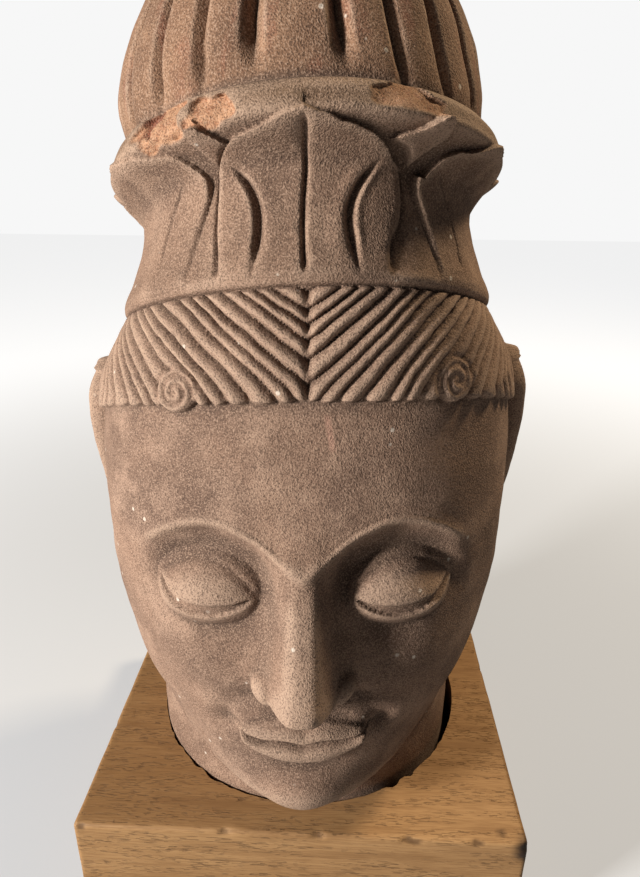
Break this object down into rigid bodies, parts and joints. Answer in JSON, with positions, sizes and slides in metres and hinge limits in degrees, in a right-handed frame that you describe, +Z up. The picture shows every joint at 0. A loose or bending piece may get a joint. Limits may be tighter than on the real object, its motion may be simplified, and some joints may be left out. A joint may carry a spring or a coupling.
{
  "type": "carved stone head on wooden plinth",
  "caption": "Carved sandstone head with combed hair, a lotus-petal band and a lobed topknot, its neck set in a round socket in a rectangular oak plinth.",
  "frame": {"origin": "centre of the plinth's underside", "axes": "+Z up, the face looks along -Y, +X is the right side of the picture"},
  "size_m": [0.1619, 0.1734, 0.352],
  "materials": {
    "sandstone": "rough, finely grained red-brown sandstone with fresh orange breaks on the rim",
    "oak": "light oak, oiled, with open grain along the plinth's width"
  },
  "bodies": {
    "root": {"stone_head": "sandstone", "wooden_plinth": "oak"}
  },
  "joints": []
}
